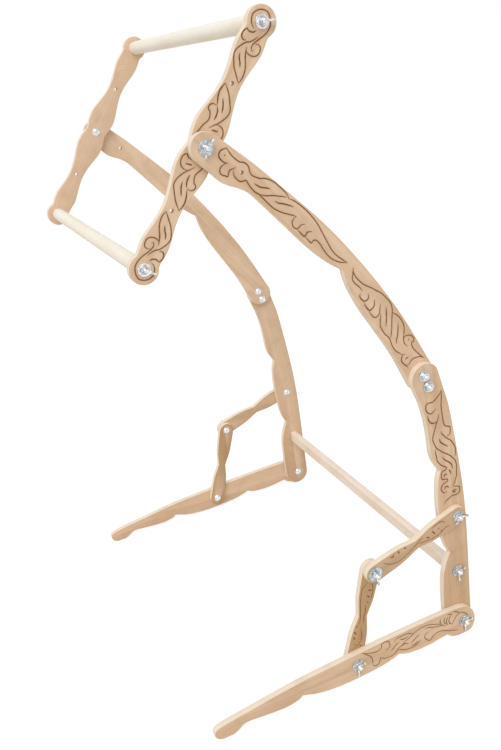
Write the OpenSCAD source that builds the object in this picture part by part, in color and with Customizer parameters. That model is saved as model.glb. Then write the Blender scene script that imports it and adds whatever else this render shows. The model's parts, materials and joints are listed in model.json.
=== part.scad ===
// Floor stand that holds embroidery stretched between two rollers.
// Millimetres, +Z up, feet pointing towards -Y. The origin lies on the floor,
// at the middle of the stand's outline.

/* [Boards] */
// Thickness of every board
ply = 10; // [8:0.5:12]
// Running gap between two boards that turn on each other
play = 0.2; // [0.1:0.1:0.5]

/* [Work frame] */
// Inside width between the two frame plates
frame_inner = 510; // [380:5:700]
// Distance between the two roller axes
roller_spacing = 300; // [260:5:360]
// Diameter of the rollers
roller_d = 20; // [18:1:26]
// Tilt of the frame plates above the horizontal, in degrees
frame_tilt = 52.7; // [40:0.5:60]
// Greatest width of the frame plates
plate_w = 39.4; // [36:0.2:44]
// Radius of the round ends of the frame plates
frame_end_r = 18; // [17:0.5:20]
// Distance of a small hole from the middle of the frame plate
frame_hole_at = 77; // [72:0.5:80]

/* [Arms] */
// Arm length from the tilt pivot to the middle of the elbow
arm_len = 431; // [390:1:480]
// Rise of the arms above the horizontal, in degrees
arm_rise = 53.6; // [48:0.2:58]
// Height of the arm's arched top edge above the line between its pivots
arm_bow = 43.6; // [40:0.2:46]
// Radius of the arm's round upper end
arm_end_r = 18; // [17:0.5:20]
// Distance of the small hole from the tilt pivot, along the arm
arm_hole_at = 50; // [46:1:54]
// Height of the small hole above the arm's centre line
arm_hole_off = 11; // [9:0.5:13]

/* [Uprights] */
// Height of the elbow above the foot pivot
upright_len = 410; // [380:1:450]
// Reach of the elbow in front of the foot pivot
elbow_fwd = 34; // [28:1:40]
// Radius of the round boards' ends that meet in the elbow
elbow_r = 21.5; // [21:0.5:24]
// Distance between the two elbow bolts
elbow_pitch = 18; // [18:0.5:20]
// Lean of the two elbow bolts out of the vertical, in degrees
elbow_lean = 18.5; // [10:0.5:30]
// Distance of the middle of the two elbow bolts below the middle of the round ends
elbow_drop = 4; // [0:0.5:5]
// Radius of the upright's round lower end
upright_end_r = 23.5; // [22.5:0.25:23.5]
// Reach of the upright's back edge behind the foot pivot
upright_back = 20.5; // [19:0.25:21.5]
// Width of the upright above its lower end
upright_w = 47.5; // [45:0.5:50]

/* [Feet] */
// Height of the foot pivot above the floor
pivot_h = 24; // [24:0.25:26]
// Reach of the foot's tip in front of the foot pivot
foot_len = 415; // [390:1:450]
// Height of the foot above the floor at its back
foot_h = 51; // [49:0.5:54]
// Reach of the foot's round heel behind the foot pivot
heel_back = 20; // [18:0.25:20.5]

/* [Folding links] */
// Distance from the foot pivot to each outer link pivot
fold_long = 187; // [180:1:192]
// Distance between the pivots of a link
fold_short = 148.5; // [142:0.5:156]
// Forward lean of the line through the upright's pivots, in degrees
upright_lean = 0.5; // [0:0.1:1]
// Rise of the line through the foot's pivots, in degrees
foot_rise = 0.7; // [0:0.1:1.5]
// Radius of the round ends of the links
link_end_r = 14.5; // [13.5:0.25:15]
// Half width of a link at its waist
link_waist = 7.2; // [6:0.2:9]
// Diameter of the wide hole in the upper link at the middle pivot
knee_hole_d = 18.4; // [18.4:0.2:20]

/* [Cross rail] */
// Height of the cross rail's middle above the foot pivot
rail_up = 86; // [82:1:92]
// Height of the cross rail's section
rail_h = 20; // [16:0.5:24]
// Depth of the cross rail's section
rail_d = 13; // [12:0.5:16]

/* [Fasteners] */
// Diameter of the bolts
bolt_d = 6; // [5:0.5:6.5]
// Diametral clearance of a bolt in a board or a nut
bolt_fit = 0.1; // [0.06:0.02:0.18]
// Diameter of a bolt's domed head
head_d = 14; // [12:0.5:15]
// Height of a bolt's domed head
head_h = 3.6; // [3:0.2:4.4]
// Length of the square neck under the head
neck_h = 3.5; // [2.5:0.5:4]
// Depth of a screw in the end of a roller or of the rail
screw_in = 28; // [20:1:40]
// Length of a bolt's end beyond its nut
bolt_spare = 2.5; // [1:0.5:5]
// Diameter of the washers
washer_d = 18; // [16:0.5:18.5]
// Diameter of the wide washers at the middle pivot of the links
knee_washer_d = 22; // [21:0.5:26]
// Diameter of the washers at the elbow
elbow_washer_d = 16; // [14:0.5:17]
// Diameter of the washers at the ends of the rollers
roller_washer_d = 16; // [14:0.5:18]
// Thickness of the washers
washer_h = 1.6; // [1.2:0.2:2]
// Diametral clearance of a washer on its bolt
washer_fit = 0.4; // [0.2:0.1:0.6]
// Diameter of a wing nut's hub at its seat
hub_d = 11; // [10:0.5:13]
// Height of a wing nut's hub
hub_h = 6.5; // [6:0.5:8]
// Span over the two wings of a wing nut
wing_span = 24; // [22:0.5:27]
// Thickness of a wing
wing_t = 2.4; // [2:0.1:3]
// Width over the flats of a hexagon nut
hex_af = 10; // [9:0.5:11]
// Height of a hexagon nut
hex_h = 5; // [4:0.5:6]
// Diameter of the small through holes in plates and arms
small_hole_d = 5; // [4:0.5:6]

/* [Hidden] */
SIDES = [-1, 1];
SIDE_NAMES = ["left_", "right_"];
// Names of the wing nuts on each side
NUTS = ["upper_roller", "lower_roller", "tilt", "link", "knee", "foot_link", "foot", "rail"];

WOOD = "burlywood";
DOWEL = "wheat";
STEEL = "silver";
// Steps of a curve between two of its points, and sides of a round hole
STEPS = 5;
ROUND = 48;

// Inner faces of the layers of boards, counted from the middle of the stand
plate_x = frame_inner / 2;
spacer_gap = washer_h + 2 * play;
arm_x = plate_x + ply + spacer_gap;
upright_x = arm_x + ply;
foot_x = upright_x + ply + play;
outer_x = foot_x + ply;

// Pivots as [y, z]; the stand's outline is centred on y = 0
foot_pivot = [(foot_len - upright_back) / 2, pivot_h];
link_pivot = foot_pivot + fold_long * [-sin(upright_lean), cos(upright_lean)];
foot_link_pivot = foot_pivot + fold_long * [-cos(foot_rise), sin(foot_rise)];
span = foot_link_pivot - link_pivot;
knee_out = sqrt(pow(fold_short, 2) - pow(norm(span) / 2, 2));
knee_pivot = (link_pivot + foot_link_pivot) / 2 + knee_out * [span[1], -span[0]] / norm(span);
elbow = foot_pivot + [-elbow_fwd, upright_len];
elbow_step = elbow_pitch / 2 * [-sin(elbow_lean), cos(elbow_lean)];
// Centres of the two elbow bolts
elbow_pair = [for (s = SIDES) elbow - [0, elbow_drop] + s * elbow_step];
tilt_pivot = elbow + arm_len * [-cos(arm_rise), sin(arm_rise)];
roller_step = roller_spacing / 2 * [cos(frame_tilt), sin(frame_tilt)];
upper_axis = tilt_pivot + roller_step;
lower_axis = tilt_pivot - roller_step;
rail_axis = foot_pivot + [0, rail_up];

// Point p of a board's own frame, which starts at o and is turned by angle a
function placed(p, o, a) = o + [p[0] * cos(a) - p[1] * sin(a), p[0] * sin(a) + p[1] * cos(a)];

// Smooth curve through the points p, without its last point
function curve(p) = [
    for (i = [0:len(p) - 2])
        let (
            b = p[i], c = p[i + 1],
            a = i == 0 ? 2 * b - c : p[i - 1],
            d = i == len(p) - 2 ? 2 * c - b : p[i + 2]
        )
        for (k = [0:STEPS - 1])
            let (t = k / STEPS)
            (2 * b + t * (c - a) + t * t * (2 * a - 5 * b + 4 * c - d)
                + t * t * t * (3 * b - a - 3 * c + d)) / 2
];

// Circular arc from angle a to angle b
function arc(centre, r, a, b, n = 16) = [
    for (k = [0:n]) centre + r * [cos(a + (b - a) * k / n), sin(a + (b - a) * k / n)]
];

// Points of a run given as [percent of the length, percent of the width]
function stations(p, length, width) = [for (q = p) [q[0] * length, q[1] * width] / 100];
function mirror_u(p) = [for (i = [len(p) - 1:-1:0]) [-p[i][0], p[i][1]]];
function mirror_v(p) = [for (i = [len(p) - 1:-1:0]) [p[i][0], -p[i][1]]];

// Board with the outline pts in [y, z], its inner face at x
module board(pts, x) {
    translate([x, 0, 0]) rotate([90, 0, 90]) linear_extrude(ply) polygon(pts);
}

// Rod along X through the point p, from x to x + h
module rod(p, d, x, h) {
    translate([x, p[0], p[1]]) rotate([0, 90, 0]) cylinder(d = d, h = h, $fn = ROUND);
}

// Round hole through a board whose inner face lies at x
module hole(p, d, x) {
    rod(p, d, x - 1, ply + 2);
}

// Hole for a bolt, with the square seat of its neck where the head sits
module bolt_hole(p, x, seat = false) {
    hole(p, bolt_d + bolt_fit, x);
    if (seat) {
        wide = bolt_d + bolt_fit;
        translate([x - 1, p[0] - wide / 2, p[1] - wide / 2]) cube([neck_h + bolt_fit + 1, wide, wide]);
    }
}

module on_side(side) {
    mirror([side < 0 ? 1 : 0, 0, 0]) children();
}

module both_sides() {
    for (side = SIDES) on_side(side) children();
}

// Half of the frame plate's outline, from its waist at the pivot to the roller
frame_lobe = [[0, 81], [4, 86], [9, 95.5], [15, 100], [20, 98], [26, 89.5], [32.5, 77], [39, 66],
    [45, 58.5], [51, 55], [58, 58], [65, 66], [72, 76], [79, 83], [85, 81], [90.5, 76]];

module frame_plate(side) {
    half = roller_spacing / 2;
    start = 123;
    lobe = curve(concat(stations(frame_lobe, half, plate_w / 2),
        [[half + frame_end_r * cos(start), frame_end_r * sin(start)]]));
    end = arc([half, 0], frame_end_r, start, -start, 30);
    under = mirror_v(lobe);
    right_half = concat(lobe, end, [for (i = [0:len(under) - 2]) under[i]]);
    outline = concat(right_half, [for (p = right_half) [-p[0], -p[1]]]);
    color(WOOD) on_side(side) difference() {
        board([for (p = outline) placed(p, tilt_pivot, frame_tilt)], plate_x);
        bolt_hole(tilt_pivot, plate_x, true);
        bolt_hole(upper_axis, plate_x);
        bolt_hole(lower_axis, plate_x);
        for (s = SIDES)
            hole(placed([s * frame_hole_at, 0], tilt_pivot, frame_tilt), small_hole_d, plate_x);
    }
}

// Runs of the arm's outline, from the tilt pivot to the elbow
arm_under_a = [[4.6, -35], [9.3, -29.5], [11.8, -20], [14.4, -6], [17.4, 4], [21, 7],
    [30, 12], [39.5, 17], [46, 25], [50.5, 35], [53.6, 45]];
arm_under_b = [[53.6, 45], [56, 33.5], [59, 22], [64, 10], [69.6, 1], [77.7, -8], [86, -19],
    [93, -33.5]];
arm_top = [[93, 62.5], [81, 82.5], [70, 94], [58, 100], [46, 100], [35, 93], [23, 78.5],
    [11.6, 63], [4.6, 50]];

module arm(side) {
    turn = -arm_rise;
    start = arc([0, 0], arm_end_r, 106, 277, 24);
    end = arc([arm_len, 0], elbow_r, 256, 438, 24);
    outline = concat(
        start,
        curve(concat([start[len(start) - 1]], stations(arm_under_a, arm_len, arm_bow))),
        curve(concat(stations(arm_under_b, arm_len, arm_bow), [end[0]])),
        end,
        curve(concat([end[len(end) - 1]], stations(arm_top, arm_len, arm_bow), [start[0]]))
    );
    color(WOOD) on_side(side) difference() {
        board([for (p = outline) placed(p, tilt_pivot, turn)], arm_x);
        bolt_hole(tilt_pivot, arm_x);
        for (p = elbow_pair) bolt_hole(p, arm_x, true);
        hole(placed([arm_hole_at, arm_hole_off], tilt_pivot, turn), small_hole_d, arm_x);
    }
}

// Runs of the upright's outline, measured forward from the line of its back edge
upright_rear = [[12, 0], [24, -0.4], [36, 0], [46, 2], [56, 7.5], [65, 15.5], [73, 24],
    [83, 35.5], [89.5, 45], [95, 57.5]];
upright_front_a = [[94, 145.5], [90.5, 135], [84, 123], [77, 116.5], [72, 113.5], [68.5, 106],
    [66, 95.5], [64, 85.5]];
upright_front_b = [[64, 85.5], [61, 94], [57.5, 98], [52.5, 100], [46.5, 98], [40.5, 93], [35.5, 86.5],
    [32, 77], [29.8, 67.5]];
upright_front_c = [[29.8, 67.5], [27.4, 78], [24.5, 87.5], [20.8, 95], [14.6, 99], [7, 100]];

module upright(side) {
    low = arc([0, upright_back + 3], upright_end_r, 90, 270, 24);
    top = arc([upright_len, upright_back + elbow_fwd], elbow_r, -66, 108, 24);
    outline = concat(
        low,
        curve(concat([low[len(low) - 1]], stations(upright_rear, upright_len, upright_w), [top[0]])),
        top,
        curve(concat([top[len(top) - 1]], stations(upright_front_a, upright_len, upright_w))),
        curve(stations(upright_front_b, upright_len, upright_w)),
        curve(concat(stations(upright_front_c, upright_len, upright_w), [low[0]]))
    );
    color(WOOD) on_side(side) difference() {
        board([for (p = outline) foot_pivot + [upright_back - p[1], p[0]]], upright_x);
        bolt_hole(foot_pivot, upright_x, true);
        bolt_hole(link_pivot, upright_x, true);
        for (p = elbow_pair) bolt_hole(p, upright_x);
        bolt_hole(rail_axis, upright_x);
    }
}

// Runs of the foot's outline, measured forward from the pivot and up from the floor
foot_under_a = [[2.5, 0], [5.3, 6], [7.5, 20]];
foot_under_b = [[7.5, 20], [10.8, 16.5], [14.5, 12.5], [19.3, 11], [23.6, 14], [26, 18.5], [28.2, 26.5]];
foot_under_c = [[28.2, 26.5], [31.3, 17.5], [36, 10], [44.5, 5], [52, 4], [58, 8], [62.2, 14.5], [65, 22.5],
    [67.2, 28.5]];
foot_under_d = [[67.2, 28.5], [68.7, 19.5], [72.3, 13.5], [76, 13], [83, 17.5], [87.2, 21], [89.7, 17.5],
    [91.4, 8], [93.5, 0]];
foot_tip = [[97.4, 0], [99, 6], [100, 20], [99.5, 35], [97.6, 42], [94.5, 47]];
foot_top = [[94.5, 47], [82, 61], [67.5, 76.5], [53, 85], [41, 91], [29, 96], [14.5, 100], [4, 100]];
// The foot's heel as [percent of its reach behind the pivot, percent of the foot's height]
foot_heel = [[12, 95], [55, 84], [88, 67], [100, 47], [93, 23], [60, 5], [0, 0]];

module foot(side) {
    outline = concat(
        curve(stations(foot_under_a, foot_len, foot_h)),
        curve(stations(foot_under_b, foot_len, foot_h)),
        curve(stations(foot_under_c, foot_len, foot_h)),
        curve(stations(foot_under_d, foot_len, foot_h)),
        stations([foot_under_d[len(foot_under_d) - 1]], foot_len, foot_h),
        curve(stations(foot_tip, foot_len, foot_h)),
        curve(concat(stations(foot_top, foot_len, foot_h), stations(foot_heel, -heel_back, foot_h))),
        [[0, 0]]
    );
    color(WOOD) on_side(side) difference() {
        board([for (p = outline) [foot_pivot[0] - p[0], p[1]]], foot_x);
        bolt_hole(foot_pivot, foot_x);
        bolt_hole(foot_link_pivot, foot_x);
    }
}

// Half of a link's outline, from its round end to its waist
link_side = [[4, 100], [13, 98], [22, 94.5], [30, 89], [37, 78], [43, 63.5]];

// Link between the pivots p and q, its inner face at x
module link(p, q, x, hole_d_at_q) {
    turn = atan2(q[1] - p[1], q[0] - p[0]);
    waist = [fold_short / 2, link_waist];
    near_run = curve(concat([[0, link_end_r]], stations(link_side, fold_short, link_end_r), [waist]));
    far_run = [for (s = mirror_u(near_run)) s + [fold_short, 0]];
    side_run = concat(near_run, [waist], far_run);
    outline = concat(
        side_run,
        arc([fold_short, 0], link_end_r, 84, -84, 24),
        mirror_v(side_run),
        arc([0, 0], link_end_r, 264, 96, 24)
    );
    difference() {
        board([for (s = outline) placed(s, p, turn)], x);
        hole(q, hole_d_at_q, x);
        children();
    }
}

module upper_link(side) {
    color(WOOD) on_side(side) link(link_pivot, knee_pivot, foot_x, knee_hole_d)
        bolt_hole(link_pivot, foot_x);
}

module lower_link(side) {
    color(WOOD) on_side(side) link(knee_pivot, foot_link_pivot, upright_x, bolt_d + bolt_fit) {
        bolt_hole(knee_pivot, upright_x, true);
        bolt_hole(foot_link_pivot, upright_x, true);
    }
}

module roller(p) {
    half = plate_x - play;
    color(DOWEL) difference() {
        rod(p, roller_d, -half, 2 * half);
        for (side = SIDES) on_side(side) rod(p, bolt_d + bolt_fit, half - screw_in - play, screw_in + 1);
    }
}

module cross_rail() {
    half = upright_x - play;
    color(DOWEL) difference() {
        translate([-half, rail_axis[0] - rail_d / 2, rail_axis[1] - rail_h / 2])
            cube([2 * half, rail_d, rail_h]);
        for (side = SIDES) on_side(side) rod(rail_axis, bolt_d + bolt_fit, half - screw_in - play, screw_in + 1);
    }
}

// Bolt with a domed head at x and a square neck, reaching out to x_end
module carriage_bolt(p, x, x_end) {
    dome_r = (pow(head_d / 2, 2) + pow(head_h, 2)) / (2 * head_h);
    rod(p, bolt_d, x, x_end - x);
    translate([x, p[0] - bolt_d / 2, p[1] - bolt_d / 2]) cube([neck_h, bolt_d, bolt_d]);
    translate([x, p[0], p[1]]) intersection() {
        translate([dome_r - head_h, 0, 0]) sphere(r = dome_r, $fn = 64);
        rotate([0, -90, 0]) cylinder(d = 2 * head_d, h = 2 * head_h, $fn = 64);
    }
}

// Headless screw in the end of a roller or rail whose end face lies at x
module end_screw(p, x, x_end) {
    rod(p, bolt_d, x - screw_in, x_end - x + screw_in);
}

module washer(p, x, d) {
    difference() {
        rod(p, d, x, washer_h);
        rod(p, bolt_d + washer_fit, x - 1, washer_h + 2);
    }
}

module hex_nut(p, x, turn) {
    difference() {
        translate([x, p[0], p[1]]) rotate([0, 90, 0]) rotate([0, 0, turn])
            cylinder(d = hex_af / cos(30), h = hex_h, $fn = 6);
        rod(p, bolt_d + bolt_fit, x - 1, hex_h + 2);
    }
}

// Outline of one wing as [radius, height], in shares of half the span and of the hub's height
wing_shape = [[0.3, 0.1], [0.5, 0.14], [0.7, 0.5], [0.88, 0.95], [1, 1.35], [0.98, 1.58], [0.86, 1.7],
    [0.72, 1.6], [0.6, 1.32], [0.46, 1.06], [0.3, 0.94]];

// Wing nut seated at x, its wings turned by angle a in the plane of the boards
module wing_nut(p, x, a) {
    r = wing_span / 2;
    wing = curve([for (w = wing_shape) [w[0] * r, w[1] * hub_h]]);
    color(STEEL) difference() {
        translate([x, p[0], p[1]]) rotate([a, 0, 0]) union() {
            rotate([0, 90, 0]) rotate_extrude($fn = ROUND) polygon([[0, 0], [hub_d / 2, 0],
                [hub_d / 2, hub_h * 0.18], [hub_d * 0.38, hub_h], [0, hub_h]]);
            for (s = SIDES) mirror([0, s < 0 ? 1 : 0, 0]) translate([0, 0, -wing_t / 2])
                linear_extrude(wing_t) polygon([for (w = wing) [w[1], w[0]]]);
        }
        rod(p, bolt_d + bolt_fit, x - 1, hub_h + 2);
    }
}

// Reach of a bolt's end beyond a washer's seat at x
function bolt_end(x) = x + washer_h + hub_h + bolt_spare;

// One row per kind of pivot: name, centre, seat of its washer, turn of its wings
PIVOTS = [
    ["upper_roller", upper_axis, plate_x + ply, 0],
    ["lower_roller", lower_axis, plate_x + ply, 150],
    ["tilt", tilt_pivot, arm_x + ply, 55],
    ["link", link_pivot, outer_x, 15],
    ["knee", knee_pivot, outer_x, 80],
    ["foot_link", foot_link_pivot, outer_x, 55],
    ["foot", foot_pivot, outer_x, 50],
    ["rail", rail_axis, upright_x + ply, 60]
];
function pivot(name) = [for (p = PIVOTS) if (p[0] == name) p][0];
function seat_x(name) = pivot(name)[2];
function centre(name) = pivot(name)[1];

module nut_node(side, name) {
    row = pivot(name);
    on_side(side) wing_nut(row[1], row[2] + washer_h, row[3]);
}

module head_bolt(name, x) {
    color(STEEL) carriage_bolt(centre(name), x, bolt_end(seat_x(name)));
}

module screw_bolts(name, x) {
    color(STEEL) both_sides() end_screw(centre(name), x, bolt_end(seat_x(name)));
}

module seat_washer(name, d = washer_d) {
    color(STEEL) washer(centre(name), seat_x(name), d);
}

module elbow_hardware(part) {
    for (p = elbow_pair) both_sides() {
        x = upright_x + ply;
        if (part == "bolt") carriage_bolt(p, arm_x, x + washer_h + hex_h + bolt_spare);
        if (part == "washer") washer(p, x, elbow_washer_d);
        if (part == "nut") hex_nut(p, x + washer_h, 10);
    }
}

for (i = [0, 1]) {
    s = SIDES[i];
    name = SIDE_NAMES[i];
    foot(s);
    upright(s);
    arm(s);
    frame_plate(s);
    upper_link(s);
    lower_link(s);
    on_side(s) head_bolt("foot_link", upright_x);
    on_side(s) seat_washer("foot_link");
    on_side(s) head_bolt("knee", upright_x);
    on_side(s) seat_washer("knee", knee_washer_d);
    for (nut = NUTS)
        nut_node(s, nut);
}
roller(upper_axis);  // upper_roller
roller(lower_axis);  // lower_roller
cross_rail();
color(STEEL) elbow_hardware("bolt");  // elbow_bolts
color(STEEL) elbow_hardware("washer");  // elbow_washers
color(STEEL) elbow_hardware("nut");  // elbow_nuts
both_sides() head_bolt("tilt", plate_x);  // tilt_bolts
color(STEEL) both_sides() washer(tilt_pivot, plate_x + ply + play, washer_d);  // tilt_spacers
both_sides() seat_washer("tilt");  // tilt_washers
screw_bolts("upper_roller", plate_x - play);  // upper_roller_bolts
screw_bolts("lower_roller", plate_x - play);  // lower_roller_bolts
both_sides() seat_washer("upper_roller", roller_washer_d);  // upper_roller_washers
both_sides() seat_washer("lower_roller", roller_washer_d);  // lower_roller_washers
both_sides() head_bolt("foot", upright_x);  // foot_pivot_bolts
both_sides() seat_washer("foot");  // foot_pivot_washers
both_sides() head_bolt("link", upright_x);  // link_bolts
both_sides() seat_washer("link");  // link_washers
screw_bolts("rail", upright_x - play);  // rail_bolts
both_sides() seat_washer("rail");  // rail_washers
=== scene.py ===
"""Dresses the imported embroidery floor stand: carved boards, turned rollers, zinc-plated fasteners."""
import json
import math

import bpy
import numpy as np
from mathutils import Matrix


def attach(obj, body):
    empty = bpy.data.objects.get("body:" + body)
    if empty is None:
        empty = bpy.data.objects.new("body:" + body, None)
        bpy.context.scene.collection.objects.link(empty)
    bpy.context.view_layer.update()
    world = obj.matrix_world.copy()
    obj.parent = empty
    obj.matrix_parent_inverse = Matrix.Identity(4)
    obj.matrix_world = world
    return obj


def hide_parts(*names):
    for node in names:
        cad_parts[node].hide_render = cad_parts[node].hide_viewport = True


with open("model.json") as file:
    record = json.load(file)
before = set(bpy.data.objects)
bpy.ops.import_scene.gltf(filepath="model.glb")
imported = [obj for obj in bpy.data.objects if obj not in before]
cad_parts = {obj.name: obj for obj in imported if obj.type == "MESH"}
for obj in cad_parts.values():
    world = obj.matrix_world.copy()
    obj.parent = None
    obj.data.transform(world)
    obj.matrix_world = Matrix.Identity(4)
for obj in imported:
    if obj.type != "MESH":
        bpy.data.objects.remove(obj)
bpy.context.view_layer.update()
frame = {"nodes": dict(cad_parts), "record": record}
scene = bpy.context.scene
MM = 0.001

# Sizes of the stand in millimetres, as its solids have them
BOARD_THICKNESS = 10.0
ROLLER_D = 20.0
RAIL_WIDTH = 13
RAIL_HEIGHT = 20
RAIL_ARRIS = 1.6
END_GAP = 0.2
HOLE_D = 6.1
SMALL_HOLE_D = 5.0
SMALL_HOLE_OUT = 77
ARM_HOLE = (50, 11)
KNEE_HOLE_D = 18.4
BOLT_D = 6.0
HEAD_R = 7.0
HEAD_H = 3.6
NECK_DEPTH = 3.5
BOLT_SPARE = 2.5
THREAD_LENGTH = 11.0
SCREW_DEPTH = 28
WASHER_T = 1.6
WASHER_D = 18
SMALL_WASHER_D = 16
KNEE_WASHER_D = 22
HUB_H = 6.5
WING_REACH = 12
HEX_H = 5.0
HEX_ACROSS = 10.0

# Edges sharper than this angle, in degrees, stay sharp on wood
WOOD_EDGE = 35

# Inner faces of the layers of board, from the middle of the stand outwards
PLATE_X = 255.0
ARM_X = 267.0
UPRIGHT_X = 277.0
FOOT_X = 287.2
OUTER_X = 297.2

# Lengths between pivots, and angles from the floor in degrees
FOLD_REACH = 187
FOLD_LINK = 148.5
ARM_LENGTH = 431
ROLLER_REACH = 150
FRAME_TILT = 52.7
ARM_SLOPE = -53.6
ELBOW_LEAN = 108.5
LINK_LEAN = 90.5
FOOT_SLOPE = 0.7

# Pivots as (y, z)
FOOT = np.array([197.25, 24.0])


def turned(length, degrees):
    """Vector (length cos a, length sin a) in the plane of the boards."""
    a = math.radians(degrees)
    return length * np.array([math.cos(a), math.sin(a)])


def crosswise(along):
    """Vector turned a quarter round, (-b, a) for (a, b)."""
    return np.array([-along[1], along[0]])


LINK = FOOT + turned(FOLD_REACH, LINK_LEAN)
FOOT_LINK = FOOT + turned(FOLD_REACH, 180 - FOOT_SLOPE)
FOLD = FOOT_LINK - LINK
FOLD_LENGTH = np.hypot(*FOLD)
KNEE_OUT = math.sqrt(FOLD_LINK ** 2 - (FOLD_LENGTH / 2) ** 2)
KNEE = (LINK + FOOT_LINK) / 2 - KNEE_OUT * crosswise(FOLD) / FOLD_LENGTH
ELBOW = FOOT + (-34.0, 410.0)
ELBOW_BOLTS = [ELBOW + (0.0, -4.0) + turned(9 * s, ELBOW_LEAN) for s in (1, -1)]
TILT = ELBOW + turned(ARM_LENGTH, 180 + ARM_SLOPE)
UPPER = TILT + turned(ROLLER_REACH, FRAME_TILT)
LOWER = TILT - turned(ROLLER_REACH, FRAME_TILT)
RAIL = FOOT + (0.0, 86.0)

BODY_OF = {n: body for body, nodes in frame["record"]["behaviour"]["bodies"].items() for n in nodes}


# Meshes

def grid_faces(rows, cols, closed_rows=False, closed_cols=True):
    """Quads (i, j), (i, j+1), (i+1, j+1), (i+1, j) of a grid of rows by cols points."""
    i = np.arange(rows if closed_rows else rows - 1)[:, None]
    j = np.arange(cols if closed_cols else cols - 1)[None, :]
    after_i = (i + 1) % rows
    after_j = (j + 1) % cols
    corners = [i * cols + j, i * cols + after_j, after_i * cols + after_j, after_i * cols + j]
    return np.stack(corners, axis=-1).reshape(-1, 4)


def joined(*shells):
    """One shell from several (points, faces) shells."""
    points = np.concatenate([s[0] for s in shells])
    faces = []
    start = 0
    for shell_points, shell_faces in shells:
        faces += [[start + k for k in face] for face in shell_faces]
        start += len(shell_points)
    return points, faces


def mirrored(shell):
    """Shell with x turned to -x, and its faces turned round to point outwards again."""
    points, faces = shell
    return points * (-1.0, 1.0, 1.0), [list(face)[::-1] for face in faces]


def for_side(shell, side):
    """A right-hand shell, or its mirror image for the left side."""
    return shell if side > 0 else mirrored(shell)


def make_object(name, shell, material=None):
    """Object at the origin with the shell's points, given in millimetres, in its mesh."""
    points, faces = shell
    mesh = bpy.data.meshes.new(name)
    mesh.from_pydata((points * MM).tolist(), [], [list(map(int, face)) for face in faces])
    mesh.update()
    if material:
        mesh.materials.append(material)
    made = bpy.data.objects.new(name, mesh)
    scene.collection.objects.link(made)
    return made


def mesh_arrays(mesh):
    """Points of a mesh in millimetres, and the number of the point at each face corner."""
    points = np.empty(3 * len(mesh.vertices))
    mesh.vertices.foreach_get("co", points)
    corners = np.empty(len(mesh.loops), int)
    mesh.loops.foreach_get("vertex_index", corners)
    return points.reshape(-1, 3) / MM, corners


def settle(made):
    """Puts the result of an object's modifiers into its mesh."""
    graph = bpy.context.evaluated_depsgraph_get()
    done = bpy.data.meshes.new_from_object(made.evaluated_get(graph))
    made.modifiers.clear()
    old = made.data
    made.data = done
    bpy.data.meshes.remove(old)


def discard(made):
    """Removes an object with its mesh."""
    mesh = made.data
    bpy.data.objects.remove(made)
    bpy.data.meshes.remove(mesh)


def cut(made, *cutters):
    """Takes the cutters' volumes out of an object."""
    for cutter in cutters:
        step = made.modifiers.new("cut", "BOOLEAN")
        step.operation = "DIFFERENCE"
        step.solver = "MANIFOLD"
        step.object = cutter
    settle(made)
    for cutter in cutters:
        discard(cutter)


def shade(made, degrees):
    """Smooth shading that breaks at edges sharper than the angle."""
    mesh = made.data
    mesh.polygons.foreach_set("use_smooth", np.ones(len(mesh.polygons), bool))
    mesh.set_sharp_from_angle(angle=math.radians(degrees))


def dress(made, slot, *nodes):
    """Lets a piece stand for CAD nodes, which it hides, and ride on their body."""
    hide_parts(*nodes)
    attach(made, BODY_OF[nodes[0]])


def lathe(profile, centre, sides, shape=None):
    """Surface (x, cy + r cos t, cz + r sin t) for the profile's (x, r); shape(x, t, r) may change r.

    A profile that starts on the axis is closed by two poles, and any other is closed on itself.
    """
    x, r = np.array(profile, float).T
    poles = r[0] == 0
    if poles:
        ends = x[[0, -1]]
        x = x[1:-1]
        r = r[1:-1]
    t = np.linspace(0, 2 * math.pi, sides, endpoint=False)
    radius = shape(x[:, None], t, r[:, None]) if shape else r[:, None]
    y = centre[0] + radius * np.cos(t)
    z = centre[1] + radius * np.sin(t)
    points = np.stack(np.broadcast_arrays(x[:, None], y, z), axis=-1).reshape(-1, 3)
    faces = grid_faces(len(x), sides, closed_rows=not poles).tolist()
    if poles:
        n = len(points)
        points = np.concatenate([points, [[ends[0], *centre], [ends[1], *centre]]])
        last = (len(x) - 1) * sides
        for k in range(sides):
            after = (k + 1) % sides
            faces.append([n, after, k])
            faces.append([n + 1, last + k, last + after])
    return points, faces


def rod(centre, start, end, d, sides):
    """Round bar along X."""
    return lathe([(start, 0), (start, d / 2), (end, d / 2), (end, 0)], centre, sides)


def square_bar(centre, start, end, d):
    """Square bar along X."""
    ends = [(start, *(centre - d / 2)), (end, *(centre + d / 2))]
    corner = np.array([[ends[(k >> a) & 1][a] for a in range(3)] for k in range(8)], float)
    faces = [[0, 4, 6, 2], [1, 3, 7, 5], [0, 1, 5, 4], [2, 6, 7, 3], [0, 2, 3, 1], [4, 5, 7, 6]]
    return corner, faces


# Shader helpers

def feed(tree, made, *places, **values):
    """Links or sets a node's sockets by (place, value) and by name; other words set its properties."""
    for key, value in [*places, *values.items()]:
        socket = made.inputs[key] if isinstance(key, int) else made.inputs.get(key.replace("_", " "))
        if socket is None:
            setattr(made, key, value)
        elif isinstance(value, bpy.types.NodeSocket):
            tree.links.new(value, socket)
        else:
            socket.default_value = value
    return made


def node(tree, kind, *places, **values):
    """Adds a shader node and feeds it."""
    return feed(tree, tree.nodes.new(kind), *places, **values)


def math_node(tree, operation, *values, clamp=False):
    """Output of a Math node over numbers or sockets."""
    return node(tree, "ShaderNodeMath", *enumerate(values), operation=operation,
                use_clamp=clamp).outputs[0]


def plus(tree, first, second):
    """Sum of two numbers or sockets."""
    return math_node(tree, "ADD", first, second)


def times(tree, first, second, clamp=False):
    """Product of two numbers or sockets."""
    return math_node(tree, "MULTIPLY", first, second, clamp=clamp)


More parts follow.
